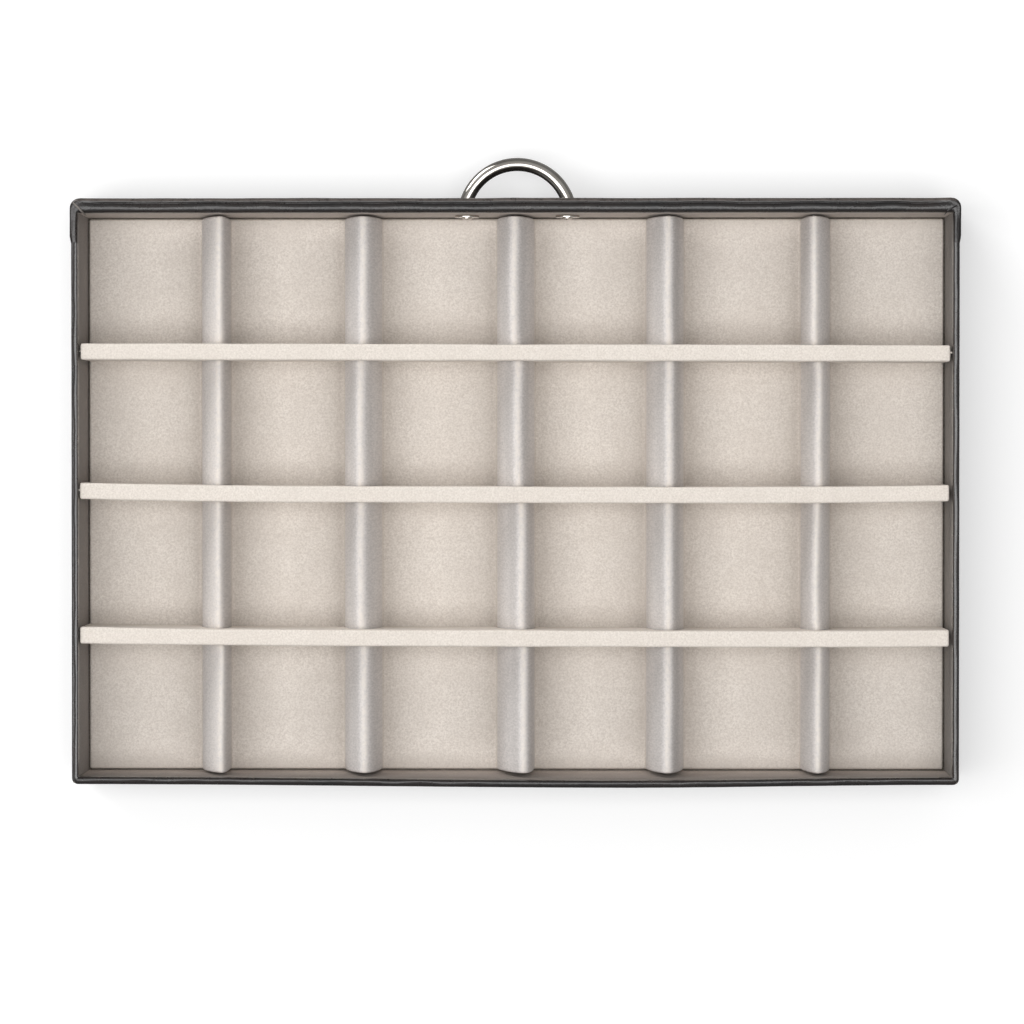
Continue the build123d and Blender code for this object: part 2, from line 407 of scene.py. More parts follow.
insert_suede_finish = suede("insert_suede", rgb(242, 235, 227), rgb(213, 204, 195),
                            raised=rgb(225, 220, 217), crest_highlight=rgb(233, 225, 216))
divider_suede_finish = suede("divider_suede", rgb(240, 232, 223), rgb(217, 208, 198))
# The four lining strips are one suede: their different tones are painted light and shade, paler on the front
# and rear strips, darker on the side strips and darkest on the -X one.
front_lining_finish = suede("front_lining_suede", rgb(195, 184, 175), rgb(166, 155, 147))
# the rear strip also has painted shade towards its rim
back_lining_finish = suede("back_lining_suede", rgb(203, 191, 182), rgb(173, 161, 153),
                           top_shade=rgb(175, 174, 172))
side_lining_finish = suede("side_lining_suede", rgb(139, 131, 125), rgb(116, 109, 104))
shaded_lining_finish = suede("shaded_lining_suede", rgb(124, 117, 111), rgb(102, 96, 91))
leather_black, leather_brown = rgb(24, 22, 22), rgb(38, 32, 30)
leather_finish = leather("black_leather", leather_black, leather_brown)
side_leather_finish = leather("side_leather", leather_black, leather_brown, dressing=0.9)
# pale leather for the +X corner's pleat: a painted highlight along it
highlight_leather_finish = leather("worn_leather", rgb(112, 107, 103), rgb(134, 127, 121))
nickel_finish = polished_nickel()
board_finish = board("grey_board", rgb(150, 144, 134), rgb(118, 112, 103))
core_finish = board("core_board", rgb(188, 180, 166), rgb(160, 152, 138))
foam_finish = foam()
felt_finish = underside_felt()


# ---- the insert: one suede sheet over a board and five ridges ----
# How far each ridge's crest leans to +X in each row of compartments, from the front row to the rear, in mm.
crest_leans = {
    1: (1.3, -0.05, 0.7, 0.0),
    2: (-0.75, -1.0, -0.85, -0.5),
    3: (0.25, -0.95, -2.05, -2.8),
    4: (-0.9, 0.1, -0.1, -1.0),
    5: (-2.6, -2.35, -2.2, -3.1),
}
# How strong the painted shade is on each ridge's +X and on its -X flank; below 0 it is painted light.
flank_shades = {1: (0.4, 0.0), 2: (0.5, 0.8), 3: (0.5, 0.5), 4: (0.4, 0.3), 5: (-0.3, 0.5)}
# The middle and reach of the painted highlight on the crest and of the painted shade on the +X and -X
# flanks, in mm from the crest's line.
mark_places = ((0.0, 1.15), (2.4, 1.6), (-2.4, 1.4))
ridge_set = {1: 0.1, 2: 0.9, 3: 0.0, 4: 0.1, 5: 0.0}  # how far each is glued to +X of its mark, in mm
ridge_point = 1.04  # 1 is a round half-ellipse, and more has straighter flanks and a narrower crest
foot_r = 0.7 * mm
edge_r = 0.7 * mm
row_turn = 5 * mm  # a crest changes its lean over this distance on each side of a divider


class Ridge:
    """A ridge of the insert: an upright half-ellipse whose crest leans and wanders."""

    def __init__(self, number):
        node = f"ridge_core_{number}"
        self.number = number
        self.x = (low(node).x + high(node).x) / 2 + ridge_set[number] * mm
        self.half = (high(node).x - low(node).x) / 2 + suede_t
        self.height = high(node).z + suede_t - board_top_z

    def lean(self, y):
        leans = crest_leans[self.number]
        value = leans[0]
        for before, after, divider_y in zip(leans, leans[1:], divider_ys):
            value += (after - before) * ease((y - divider_y) / (2 * row_turn) + 0.5)
        return (value + 0.3 * wander(self.x, y, 0, size=17 * mm, seed=3.1)) * mm

    def point(self, turn, y, grow=0.0):
        """The ridge's skin at an angle round it, 0 at its +X foot and pi at its -X foot."""
        across, up = cos(turn), sin(turn) ** ridge_point
        x = self.x + (self.half + grow) * abs(across) ** ridge_point * (1 if across > 0 else -1)
        return x + self.lean(y) * up**2, board_top_z + (self.height + grow) * up

    def over(self, steps, y, grow=0.0, from_z=None):
        """Points over the ridge from its -X foot to its +X foot, from a height above its base."""
        rise = 0 if from_z is None else (from_z - board_top_z) / (self.height + grow)
        foot_turn = asin(rise ** (1 / ridge_point))
        turns = [pi - foot_turn - (pi - 2 * foot_turn) * k / steps for k in range(steps + 1)]
        return [self.point(turn, y, grow) for turn in turns]


ridges = [Ridge(number) for number in crest_leans]
ridge_steps = 30
core_steps = 24
floor_steps = 16


def graded(start_value, end_value, steps):
    """Values that stand closer together towards both ends, without the last."""
    return [start_value + (end_value - start_value) * ease(k / steps) for k in range(steps)]


def floor_height(x, y):
    return floor_z + 0.08 * mm * wander(x, y, 0, size=26 * mm, seed=7.7)


def insert_profile(y):
    """The insert's skin across the drawer at one y, from the -X edge to the +X edge."""
    left, right = -insert_x, insert_x
    rounding = [(edge_r * (1 - cos(t)), floor_z - edge_r * (1 - sin(t))) for t in (0.4, 0.8, 1.2, pi / 2)]
    points = [(left, insert_low_z), (left, floor_z - edge_r)]
    points += [(left + inwards, z) for inwards, z in rounding[:-1]]
    x = left + edge_r
    for ridge in ridges:
        foot = ridge.x - ridge.half - foot_r
        points += [(step, floor_height(step, y)) for step in graded(x, foot, floor_steps)]
        points += [(foot + foot_r * sin(t), floor_z + foot_r * (1 - cos(t))) for t in (0.0, 0.5, 1.0)]
        points += ridge.over(ridge_steps, y, from_z=floor_z + foot_r)
        foot = ridge.x + ridge.half + foot_r
        points += [(foot - foot_r * sin(t), floor_z + foot_r * (1 - cos(t))) for t in (1.0, 0.5, 0.0)]
        x = foot + 0.4 * mm
    points += [(step, floor_height(step, y)) for step in graded(x, right - edge_r, floor_steps)]
    points += [(right - inwards, z) for inwards, z in reversed(rounding)]
    return points + [(right, floor_z - edge_r), (right, insert_low_z)]


def outward(profile):
    """The unit normals of a profile, up and away from the insert."""
    normals = []
    for k in range(len(profile)):
        (x0, z0), (x1, z1) = profile[max(k - 1, 0)], profile[min(k + 1, len(profile) - 1)]
        length = hypot(x1 - x0, z1 - z0) or 1
        normals.append((-(z1 - z0) / length, (x1 - x0) / length))
    return normals


def insert_end(y, way):
    """The rows that turn the suede down over one end of the insert; way is -1 at the front."""
    profile = insert_profile(y)
    normals = outward(profile)
    rows = []
    for turn in (0.0, 0.4, 0.8, 1.2, pi / 2):
        inset, back = edge_r * (1 - cos(turn)), edge_r * (1 - sin(turn))
        rows.append([
            (x - nx * inset, y - way * (back + end_lean(z)), max(z - nz * inset, insert_low_z))
            for (x, z), (nx, nz) in zip(profile, normals)
        ])
    edge = rows[-1]
    for share in (0.25, 0.5, 0.75, 1.0):
        rows.append([
            (x + (foot_line(k, edge) - x) * share,
             y - way * end_lean(z) * (1 - share),
             z + (insert_low_z - z) * share)
            for k, (x, _, z) in enumerate(edge)
        ])
    return rows


def end_lean(z):
    """A ridge's end leans back from the lining, by this much at this height."""
    return 0.2 * mm * ease((z - floor_z) / (12 * mm))


def foot_line(k, edge):
    """The x a point of the insert's end goes to on its lower edge: its own, or spread under its ridge."""
    for ridge in ridges:
        reach = ridge.half + 0.8 * mm
        over = [n for n, (x, _, z) in enumerate(edge) if abs(x - ridge.x) < reach and z > floor_z]
        if over and over[0] <= k <= over[-1]:
            share = (k - over[0]) / (over[-1] - over[0])
            return edge[over[0]][0] + (edge[over[-1]][0] - edge[over[0]][0]) * share
    return edge[k][0]


def fading(distance, reach):
    """1 at no distance, fading away over this reach."""
    return exp(-abs(distance) / reach)


def paint_light_and_shade(piece):
    """Paints light and shade into the insert's attribute: highlights on the crests, at the foot of each
    flank and along the front and rear edges, and shade on the flanks and on the floor beside each ridge's
    foot.
    """
    marks = piece.data.attributes.new("pile_and_painted_shading", "FLOAT", "POINT")
    for vertex, mark in zip(piece.data.vertices, marks.data):
        x, y, z = vertex.co
        near = min(ridges, key=lambda ridge: abs(x - ridge.x))
        if z > floor_z + 0.5 * mm:
            across = (x - near.x - near.lean(y)) / mm
            crest_highlight, left, right = (exp(-abs((across - at) / wide) ** 3) for at, wide in mark_places)
            left_shade, right_shade = flank_shades[near.number]
            mark.value = 0.85 * crest_highlight - left_shade * left - right_shade * right
            # painted highlight at the foot of each flank
            mark.value += 0.3 * fading(z - floor_z - 1.5 * mm, 1.2 * mm)
        elif z > floor_z - edge_r:
            # on the floor: painted light along the front and rear edges, and painted shade beside the
            # ridges' feet, stronger on their +X side
            foot = max(abs(x - near.x) - near.half, 0)
            edge = min(y - insert_front_y, insert_back_y - y)
            strength, reach = (1.1, 9 * mm) if x > near.x else (0.8, 8 * mm)
            dark = strength * fading(foot, reach) * (0.6 + 0.4 * ease(foot / (2 * mm)))
            pale = fading(edge, 4 * mm)
            mark.value = pale - dark * (1 - 0.6 * pale)


def insert_sheet():
    inner_front, inner_back = insert_front_y + 2 * edge_r, insert_back_y - 2 * edge_r
    ys = spread(inner_front, inner_back, 56)[1:]
    rows = list(reversed(insert_end(insert_front_y, -1)))
    rows += [[(x, y, z) for x, z in insert_profile(y)] for y in ys]
    rows += insert_end(insert_back_y, 1)
    piece = sheet_through("suede_insert", rows)
    paint_light_and_shade(piece)
    thicken(piece, suede_t - 0.05 * mm, even=False)
    finish_piece(piece, insert_suede_finish, replaces=["insert_suede"], angle=60)


def ridge_cores():
    for ridge in ridges:
        piece = closed_core(ridge)
        finish_piece(piece, core_finish, replaces=[f"ridge_core_{ridge.number}"])


def closed_core(ridge):
    """Rings round the core, closed along its flat base, with its two ends filled."""
    y0, y1 = insert_front_y + suede_t + 0.8 * mm, insert_back_y - suede_t - 0.8 * mm
    ys = [y0, *spread(y0, y1, 30)[1:], y1]
    rows = []
    for y in ys:
        ring = ridge.over(core_steps, y, grow=-suede_t - 0.05 * mm)
        rows.append([(x, y, z) for x, z in [*ring, ring[0]]])
    piece = sheet_through(f"ridge_core_piece_{ridge.number}", rows)
    tidy_mesh(piece)
    edit(piece, "DESELECT")
    bpy.ops.mesh.select_non_manifold()
    bpy.ops.mesh.fill_holes(sides=0)
    turn_outwards()
    return piece


# ---- the cross dividers ----
# How each divider stands, in mm: back from its mark, skewed, its ends bent forward, and along to +X.
divider_set = {
    "front": (0.4, 0.33, 0.0, 0.0),
    "middle": (0.32, 0.33, 0.95, 0.3),
    "rear": (0.7, 0.4, 0.63, 0.3),
}
notch_gap = 0.3 * mm
divider_edge_r = 0.6 * mm


def divider_line(name, x):
    """The y of a divider's middle at x: it stands a little askew and not quite straight."""
    offset, skew, bend, _ = divider_set[name]
    mark = divider_ys[divider_names.index(name)]
    along = x / divider_x
    bow = 0.06 * wander(x, mark, 0, size=60 * mm, seed=1.3)
    return mark + (offset - skew * along - bend * along**4 + bow) * mm


def divider_foot(name, end_x):
    """Stations along a divider's lower edge, which clears the ridges: pairs of x and height."""
    y = divider_ys[divider_names.index(name)]
    shift = divider_set[name][3] * mm
    stations, x = [], shift - end_x
    end_x += shift
    for ridge in ridges:
        notch = ridge.over(18, y, grow=notch_gap)
        notch = [(px, z) for px, z in notch if z > floor_z + 0.3 * mm]
        stations += [(step, floor_z) for step in spread(x, notch[0][0] - 0.1 * mm, 7)]
        stations += [(notch[0][0] - 0.1 * mm, floor_z), *notch, (notch[-1][0] + 0.1 * mm, floor_z)]
        x = notch[-1][0] + 0.1 * mm
        stations.append((x + 2 * mm, floor_z))
        x += 4 * mm
    return stations + [(step, floor_z) for step in spread(x, end_x, 8)] + [(end_x, floor_z)]


def divider_cover(name):
    """Suede wrapped over a divider's board, with both ends folded in."""
    half, top, r = divider_t / 2, divider_top_z, divider_edge_r
    index = divider_names.index(name)
    stations = divider_foot(name, divider_x)

    def section(x, foot, draw_in=1.0, drop=0.0):
        """Points up the front face, over the top and down the back face."""
        middle = divider_line(name, x)
        face = [(-half, foot + (top - r - foot) * k / 6) for k in range(7)]
        roll = [(-half + r * (1 - cos(t)), top - r + r * sin(t)) for t in (0.35, 0.7, 1.05, 1.4)]
        crown = [(-half + r + (2 * half - 2 * r) * k / 4, top) for k in range(5)]
        back = [(-y, z) for y, z in reversed(face + roll)]
        points = []
        for side, z in [*face, *roll, *crown, *back]:
            swell = 0.08 * mm * wander(x, side * 3, z, size=9 * mm, seed=2.0 + index)
            swell += 0.1 * mm * wander(x, side, 0, size=31 * mm, seed=9.0 + index)
            up = 0.5 * swell + 0.03 * mm if z > top - r else 0
            height = z + up - drop * (z - foot) / (top - foot)
            points.append((x, middle + side * (1 + swell / half) * draw_in, height))
        return points

    (first_x, foot), last_x = stations[0], stations[-1][0]
    rows = [section(x, z) for x, z in stations[1:-1]]
    for turn in (0.0, 0.5, 1.0, pi / 2):
        drawn, out = r * (1 - cos(turn)), r * (1 - sin(turn))
        rows.insert(0, section(first_x + out, foot, 1 - drawn / half, drawn))
        rows.append(section(last_x - out, foot, 1 - drawn / half, drawn))
    for share in (0.5, 0.0):
        rows.insert(0, section(first_x, foot, share * (1 - r / half), r))
        rows.append(section(last_x, foot, share * (1 - r / half), r))
    piece = sheet_through(f"{name}_divider_suede", rows[::-1])
    thicken(piece, cover_t - 0.05 * mm, even=False)
    finish_piece(piece, divider_suede_finish, f"{name}_divider",
                 [f"{name}_divider_cover"], angle=50)


def divider_board(name):
    """The stiff board inside a divider, notched over the ridges."""
    half = divider_t / 2 - cover_t
    top = divider_top_z - cover_t - 0.15 * mm
    rows = []
    for z_share in spread(0, 1, 5) + [1]:
        rows.append([
            (x, divider_line(name, x), foot + (top - foot) * z_share)
            for x, foot in divider_foot(name, divider_x - cover_t - 0.2 * mm)
        ])
    piece = sheet_through(f"{name}_divider_board", rows)
    thicken(piece, 2 * half - 0.3 * mm, side=0)
    tidy_mesh(piece)
    finish_piece(piece, core_finish, f"{name}_divider",
                 [f"{name}_divider_core"], angle=30)


# ---- leather over the walls ----
turn_in = rim_z - lining_top_z
under_gap = 0.3 * mm  # between the turned-under leather and the felt's edge
under_r = 0.5 * mm


# Each rim across its wall: distance in from the outer face and depth below the rim, in mm.
front_rim = ((0, 2.6), (0.1, 1.5), (0.4, 0.72), (0.95, 0.4), (1.4, 0.5), (1.72, 0.62),
             (2.05, 0.22), (2.8, 0.0), (3.5, 0.05), (4.05, 0.26), (4.45, 0.72), (4.65, 1.5))
side_rim = ((0, 1.6), (0.05, 1.0), (0.15, 0.62), (0.34, 0.34), (0.58, 0.13), (0.85, 0.04),
            (1.15, 0.0), (1.5, 0.02), (1.8, 0.16), (2.02, 0.55), (2.14, 1.05), (2.2, 1.7))
right_rim = ((0, 1.6), (0.05, 1.0), (0.17, 0.62), (0.36, 0.39), (0.7, 0.3), (1.05, 0.13),
             (1.4, 0.01), (1.7, 0.0), (1.93, 0.1), (2.08, 0.4), (2.16, 0.9), (2.2, 1.7))
corner_rim = ((0, 1.8), (0.06, 1.0), (0.2, 0.5), (0.45, 0.22), (0.9, 0.08), (1.4, 0.05),
              (2.05, 0.05), (2.8, 0.0), (3.5, 0.05), (4.05, 0.24), (4.45, 0.72), (4.65, 1.5))
back_rim = ((0, 2.2), (0.06, 1.3), (0.22, 0.8), (0.45, 0.45), (0.75, 0.22), (1.1, 0.07),
            (1.5, 0.0), (1.8, 0.03), (2.02, 0.14), (2.25, 0.42), (2.4, 0.9), (2.45, 1.6))


def between(first, second, share):
    return [(a + (c - a) * share, b + (d - b) * share) for (a, b), (c, d) in zip(first, second)]


def smooth_line(points, steps):
    """A smooth line through these points, with this many steps to a span."""
    line = []
    for k in range(len(points) - 1):
        before, here = points[max(k - 1, 0)], points[k]
        there, after = points[k + 1], points[min(k + 2, len(points) - 1)]
        for t in spread(0, 1, steps):
            line.append(tuple(
                b + 0.5 * t * ((c - a) + (2 * a - 5 * b + 4 * c - d) * t + (3 * b - a - 3 * c + d) * t * t)
                for a, b, c, d in zip(before, here, there, after)
            ))
    return line + [points[-1]]


def wall_section(width, rim, crown):
    """Leather round a wall, under, up, over the rim and in: (distance in from the outer face, height)."""
    turned_under = width - under_gap
    points = [(turned_under, under_z), (turned_under / 2, under_z), (under_r, under_z)]
    points += [(under_r * (1 - sin(t)), under_z + under_r * (1 - cos(t))) for t in (0.4, 0.8, 1.2)]
    foot_z, shoulder_z = under_z + under_r, rim_z - rim[0][1] * mm
    for z in spread(foot_z, shoulder_z, 12):
        points.append((-crown * sin(pi * (z - foot_z) / (shoulder_z - foot_z)) ** 0.7, z))
    scale = width / rim[-1][0]
    points += [(along * scale, rim_z - depth * mm) for along, depth in smooth_line(rim, 2)]
    return points + [(width, rim_z - turn_in)]


def leather_strip(name, path, rims, crown=0.0, ripple=0.12 * mm, lean=None,
                  finish=leather_finish):
    """One strip of leather laid along a path of (outer point, inner point) pairs seen from above.

    It is named and replaces its node as leather_front does front_leather."""
    rows = []
    for k, ((ox, oy), (ix, iy)) in enumerate(path):
        width = hypot(ix - ox, iy - oy)
        inwards = ((ix - ox) / width, (iy - oy) / width)
        row = []
        for along, z in wall_section(width, rims[k], crown):
            x, y = ox + inwards[0] * along, oy + inwards[1] * along
            waves = wander(x, y, z, size=11 * mm, seed=4.0) + 0.8 * wander(x, y, 0, size=38 * mm, seed=6.0)
            swell = ripple * (0.6 + 0.5 * waves)
            over = ease((z - (rim_z - 4 * mm)) / (2 * mm))
            share = along / width
            if 0 < share < 1:
                along += 0.2 * mm * wander(ox, oy, 0, size=9 * mm, seed=2.2) * min(share, 1 - share) * 4
            along -= swell * (1 - 0.5 * over) * (1 if share < 0.9 else 0.2)
            height = z + over * 0.7 * swell if share < 0.97 else z
            y = oy + inwards[1] * along + (lean(ox, z) if lean else 0)
            row.append((ox + inwards[0] * along, y, height))
        rows.append(row)
    piece = sheet_through(name, rows)
    thicken(piece, leather_t - 0.05 * mm)
    finish_piece(piece, finish, replaces=[name.removeprefix("leather_") + "_leather"], angle=60)


front_corner_r = 3.0 * mm
back_corner_r = 1.9 * mm
inner_corner_r = 0.35 * mm
hem = 2.0 * mm  # the flap's end thins down to the side leather over this distance


wall_steps = 110  # along the front or rear wall
side_steps = 60
flap_steps = 10
mitre = pi / 4 * 0.97  # a rear corner's leather stops a little short of the mitre


def front_corner(side, turn):
    """The outer and inner point of a front corner at this turn from the side towards the front."""
    r, inner_r = front_corner_r, inner_corner_r
    outer = (side * (flap_x - r * (1 - cos(turn))), front_y + r * (1 - sin(turn)))
    return outer, (side * (rim_x - inner_r * (1 - cos(turn))), rim_front_y + inner_r * (1 - sin(turn)))


def back_corner(side, turn):
    """The outer and inner point of a rear corner at this turn from the side towards the rear."""
    r, inner_r = back_corner_r, inner_corner_r
    outer = (side * (side_x - r * (1 - cos(turn))), back_y - r * (1 - sin(turn)))
    return outer, (side * (rim_x - inner_r * (1 - cos(turn))), rim_back_y - inner_r * (1 - sin(turn)))


def front_path():
    """From the end of the +X flap, round the front, to the end of the -X flap."""
    def half_path(side):
        outer = []
        for y in spread(flap_end_y, front_y + front_corner_r, flap_steps):
            step = (flap_x - side_x) * ease((flap_end_y - y) / hem)
            outer.append((side * (side_x + 0.03 * mm + step), y))
        inner_ys = spread(flap_end_y, rim_front_y + inner_corner_r, flap_steps)
        flap = list(zip(outer, [(side * rim_x, y) for y in inner_ys]))
        return flap + [front_corner(side, pi / 2 * k / 7) for k in range(8)]

    outer_end, inner_end = flap_x - front_corner_r, rim_x - inner_corner_r
    shares = spread(1, -1, wall_steps)[1:]
    middle = [((outer_end * s, front_y), (inner_end * s, rim_front_y)) for s in shares]
    return half_path(1) + middle + half_path(-1)[::-1]


def side_path(side):
    """From the flap's seam to the rear mitre at -X, and back from the mitre at +X, so both face outwards."""
    seam_y = flap_end_y + 0.05 * mm
    outer = [(side * side_x, y) for y in spread(seam_y, back_y - back_corner_r, side_steps)]
    inner = [(side * rim_x, y) for y in spread(seam_y, rim_back_y - inner_corner_r, side_steps)]
    path = list(zip(outer, inner)) + [back_corner(side, mitre * k / 3) for k in range(4)]
    return path if side < 0 else path[::-1]


def back_path():
    """From the mitre at the -X rear corner to the one at the +X rear corner."""
    def corner(side):
        return [back_corner(side, pi / 2 - mitre * k / 3) for k in range(4)]

    outer_end, inner_end = side_x - back_corner_r, rim_x - inner_corner_r
    shares = spread(-1, 1, wall_steps)[1:]
    middle = [((outer_end * s, back_y), (inner_end * s, rim_back_y)) for s in shares]
    return corner(-1)[::-1] + middle + corner(1)


def rear_lean(x, z):
    """How far the rear wall leans back at this place: most at the rim, a little to -X of the middle."""
    most, crown_x, foot_z = 1.05 * mm, -35 * mm, 3 * mm
    reach = (166 if x > crown_x else 100) * mm
    return most * ease(1 - abs(x - crown_x) / reach) * max(z - foot_z, 0) / (rim_z - foot_z)


def leathers():
    front_wall, side_wall, back_wall = rim_front_y - front_y, side_x - rim_x, back_y - rim_back_y
    front_line = front_path()
    rims = []
    for (ox, oy), (ix, iy) in front_line:
        width = hypot(ix - ox, iy - oy)
        rim = between(side_rim, front_rim, ease((width - side_wall) / (front_wall - side_wall)))
        to_corner = hypot(flap_x - front_corner_r / 2 - abs(ox), front_y + front_corner_r / 2 - oy)
        rims.append(between(rim, corner_rim, ease(1.6 - to_corner / (4 * mm))))
    leather_strip("leather_front", front_line, rims,
                  crown=0.35 * mm, ripple=0.2 * mm)
    for side, name, rim in ((-1, "left", side_rim), (1, "right", right_rim)):
        line = side_path(side)
        leather_strip(f"leather_{name}_side", line, [rim] * len(line),
                      finish=side_leather_finish)
    line = back_path()
    leather_strip("leather_back", line, [back_rim] * len(line),
                  lean=rear_lean)


def corner_fold(name, line, width, height, finish):
    """A narrow pleat of leather tucked across a front corner, from the outer edge down inside the rim."""
    points = [Vector(point) * mm for point in smooth_line(line, 6)]
    rows = []
    for k, point in enumerate(points):
        along = (points[min(k + 1, len(points) - 1)] - points[max(k - 1, 0)]).normalized()
        side = along.cross(Vector((0, 0, 1))).normalized()
        taper = sin(pi * (0.12 + 0.8 * k / (len(points) - 1))) ** 0.5
        row = []
        for t in spread(-1, 1, 6) + [1]:
            row.append(point + side * (t * width * taper / 2) + along.cross(side) * (t * t - 1) * height)
        rows.append(row)
    piece = sheet_through(name, rows)
    thicken(piece, 0.2 * mm)
    finish_piece(piece, finish, angle=60)


# The lines of the pleats at the two front corners, in mm.
right_pleat = ((139.3, -91.2, 31.7), (138.6, -90.5, 32.35), (137.2, -89.1, 32.45),
               (136.2, -88.0, 31.9), (135.5, -87.3, 29.2))
left_pleat = ((-139.3, -90.3, 31.8), (-138.2, -89.6, 32.15), (-136.6, -88.7, 32.1),
              (-135.7, -87.9, 31.4), (-135.4, -87.3, 29.2))


def corner_folds():
    # the +X pleat is pale leather: a painted highlight
    corner_fold("corner_fold_right", right_pleat, 0.65 * mm, 0.35 * mm, highlight_leather_finish)
    corner_fold("corner_fold_left", left_pleat, 0.5 * mm, 0.25 * mm, leather_finish)


# ---- the padding behind the front leather ----
def front_pad():
    """A thin foam pad, crowned between its edges and rounded at its front."""
    x_end, back = high("front_padding").x, high("front_padding").y
    front = low("front_padding").y + 0.05 * mm
    bottom, top = low("front_padding").z, high("front_padding").z - 0.35 * mm
    piece = block("front_pad", Vector((-x_end, front, bottom)), Vector((x_end, back, top)))
    edit(piece)
    bpy.ops.mesh.bisect(plane_co=(0, 0, 0), plane_no=(1, 0, 0))
    bpy.ops.object.mode_set(mode="OBJECT")
    round_edges(piece, 0.6 * mm)
    use_modifier(piece, "REMESH", mode="VOXEL", voxel_size=0.9 * mm)
    for vertex in piece.data.vertices:
        x, y, z = vertex.co
        edge = min(x_end - abs(x), z - bottom, top - z) / (4 * mm)
        depth = (back - y) / (back - front)
        vertex.co.y += depth * (0.5 * mm * (1 - ease(edge)) + 0.08 * mm * wander(x, 0, z, size=14 * mm))
    finish_piece(piece, foam_finish, replaces=["front_padding"])


# ---- the suede lining of the walls ----
def lining_strip(wall, ends, finish, lean=None):
    """A strip of suede glued inside a wall; ends are its two plan points at the face you see."""
    (x0, y0), (x1, y1) = ends
    length = hypot(x1 - x0, y1 - y0)
    along = ((x1 - x0) / length, (y1 - y0) / length)
    steps = round(length / (2.5 * mm))
    rows = []
    for z_share in (0.0, 0.25, 0.5, 0.75, 0.9, 1.0):
        row = []
        for k in range(steps + 1):
            x, y = x0 + along[0] * length * k / steps, y0 + along[1] * length * k / steps
            top = lining_top_z + 0.25 * mm * wander(x, y, 0, size=13 * mm, seed=5.5) - 0.1 * mm
            z = lining_low_z + (top - lining_low_z) * z_share
            bulge = 0.04 * mm * wander(x, y, z, size=12 * mm, seed=8.8) - 0.03 * mm
            leant = lean(x, z) if lean else 0
            row.append((x + along[1] * bulge, y - along[0] * bulge + leant, z))
        rows.append(row)
    piece = sheet_through(f"lining_{wall}", rows)
    thicken(piece, lining_t - 0.08 * mm)
    finish_piece(piece, finish, replaces=[f"{wall}_lining"], angle=50)


def linings():
    x, front, back = lining_x, lining_front_y, lining_back_y
    lining_strip("front", ((x, front), (-x, front)), front_lining_finish)
    lining_strip("back", ((-x, back), (x, back)), back_lining_finish, lean=rear_lean)
    lining_strip("left", ((-x, front), (-x, back)), shaded_lining_finish)
    lining_strip("right", ((x, back), (x, front)), side_lining_finish)


# ---- the felt underneath ----
def underside():
    node = "underside_cover"
    x, y0, y1 = high(node).x - 0.1 * mm, low(node).y + 0.1 * mm, high(node).y - 0.1 * mm
    rows = []
    for k in range(41):
        y = y0 + (y1 - y0) * k / 40
        rows.append([(s, y, high(node).z - 0.02 * mm) for s in [*spread(-x, x, 60), x]])
    piece = sheet_through("underside_felt", rows)
    thicken(piece, high(node).z - low(node).z - 0.02 * mm)
    round_edges(piece, 0.15 * mm, 3, 60)
    finish_piece(piece, felt_finish, replaces=[node], angle=60)


# ---- the bow pull and its fixings ----
def bow_pull():
    """A ring of round bar, cut off at the front leather, with its two ends run on to the board."""
    deselect_all()
    bpy.ops.mesh.primitive_torus_add(location=(pull_x, pull_arc_y, pull_z), major_segments=160,
                                     minor_segments=36, major_radius=pull_arc_r, minor_radius=bar_r)
    piece = called("bow_pull")
    settle(piece)
    edit(piece)
    bpy.ops.mesh.bisect(plane_co=(0, front_y, 0), plane_no=(0, 1, 0), clear_outer=True)
    into_wall = high("pull_handle").y - front_y
    bpy.ops.mesh.extrude_region_move(TRANSFORM_OT_translate={"value": (0, into_wall, 0)})
    bpy.ops.mesh.fill_holes(sides=0)
    turn_outwards()
    finish_piece(piece, nickel_finish, replaces=["pull_handle"])


def joined(name, pieces):
    start(pieces[0])
    for piece in pieces:
        piece.select_set(True)
    bpy.ops.object.join()
    return called(name)


def washers():
    """Two flat washers with rounded edges, against the lining inside the front."""
    lowest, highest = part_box("handle_washers")
    r, t = (highest.z - lowest.z) / 2, highest.y - lowest.y
    hole_r = 1.2 * mm
    made = []
    for x in (lowest.x + r + pull_x, highest.x - r + pull_x):
        deselect_all()
        bpy.ops.mesh.primitive_cylinder_add(vertices=48, radius=r, depth=t, end_fill_type="NOTHING",
                                            location=(x, lowest.y + t / 2, pull_z), rotation=(pi / 2, 0, 0))
        washer = bpy.context.object
        settle(washer)
        use_modifier(washer, "SOLIDIFY", thickness=r - hole_r, offset=-1)
        round_edges(washer, 0.16 * mm, 3, 50)
        made.append(washer)
    finish_piece(joined("pull_washers", made), nickel_finish,
                 replaces=["handle_washers"])


